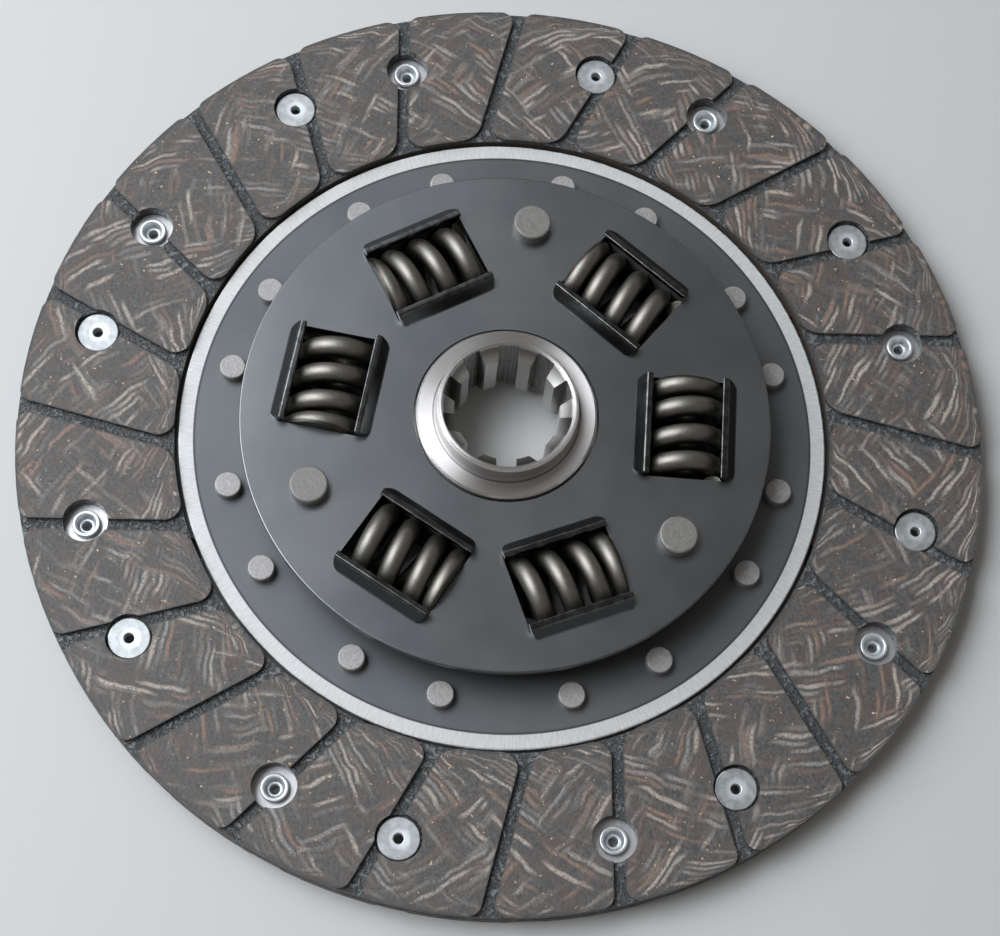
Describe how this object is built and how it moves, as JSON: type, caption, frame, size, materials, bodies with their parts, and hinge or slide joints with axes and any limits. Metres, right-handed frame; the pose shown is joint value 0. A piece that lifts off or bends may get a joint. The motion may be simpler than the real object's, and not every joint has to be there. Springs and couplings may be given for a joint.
{
  "type": "clutch disc",
  "caption": "Clutch driven disc: splined hub sprung in windowed plates by coil springs, carrying riveted grooved friction facings.",
  "frame": {"origin": "centre of the rear facing's rubbing face, which the disc lies on", "axes": "+Z along the disc's axis towards the retainer side; +Y towards the first stop pin; +X completes a right-handed frame"},
  "size_m": [0.24, 0.24, 0.0245],
  "materials": {
    "friction_material": "dry moulded friction composite with wound yarn",
    "plate_steel": "dark satin phosphated steel, bare ground band at the disc plate's rim",
    "friction_ring": "matt friction ring",
    "spring_steel": "blued spring steel",
    "cushion_steel": "pale spring-steel strip",
    "zinc_rivet": "pale zinc plate",
    "steel_rivet": "matt spun steel",
    "pin_steel": "matt steel",
    "hub_steel": "bright turned and broached steel",
    "spring_wire": "oil-blackened spring wire"
  },
  "bodies": {
    "driven_plate": {"front_facing": "friction_material", "rear_facing": "friction_material", "disc_plate": "plate_steel", "retainer_plate": "plate_steel", "rear_friction_washer": "friction_ring", "front_friction_washer": "friction_ring", "spring_washer": "spring_steel", "front_facing_rivets": "zinc_rivet", "rear_facing_rivets": "zinc_rivet", "segment_rivets": "steel_rivet", "cushion_segment_1": "cushion_steel", "cushion_segment_2": "cushion_steel", "cushion_segment_3": "cushion_steel", "cushion_segment_4": "cushion_steel", "cushion_segment_5": "cushion_steel", "cushion_segment_6": "cushion_steel", "cushion_segment_7": "cushion_steel", "cushion_segment_8": "cushion_steel", "stop_pin_1": "pin_steel", "stop_pin_2": "pin_steel", "stop_pin_3": "pin_steel"},
    "hub": {"hub": "hub_steel"},
    "springs": {"damper_spring_1": "spring_wire", "damper_spring_2": "spring_wire", "damper_spring_3": "spring_wire", "damper_spring_4": "spring_wire", "damper_spring_5": "spring_wire", "damper_spring_6": "spring_wire"}
  },
  "joints": [
    {"name": "hub_wind_up", "type": "hinge", "parent": "driven_plate", "child": "hub", "pos_m": [0, 0, 0.0112], "axis": [0, 0, 1], "range_deg": [-6, 6], "stiffness_Nm_per_rad": 12, "deforming": ["damper_spring_1", "damper_spring_2", "damper_spring_3", "damper_spring_4", "damper_spring_5", "damper_spring_6"]},
    {"name": "spring_follow", "type": "hinge", "parent": "driven_plate", "child": "springs", "pos_m": [0, 0, 0.0112], "axis": [0, 0, 1], "range_deg": [-3, 3]}
  ],
  "couplings": [
    {"joint": "spring_follow", "follows": "hub_wind_up", "ratio": 0.5}
  ]
}
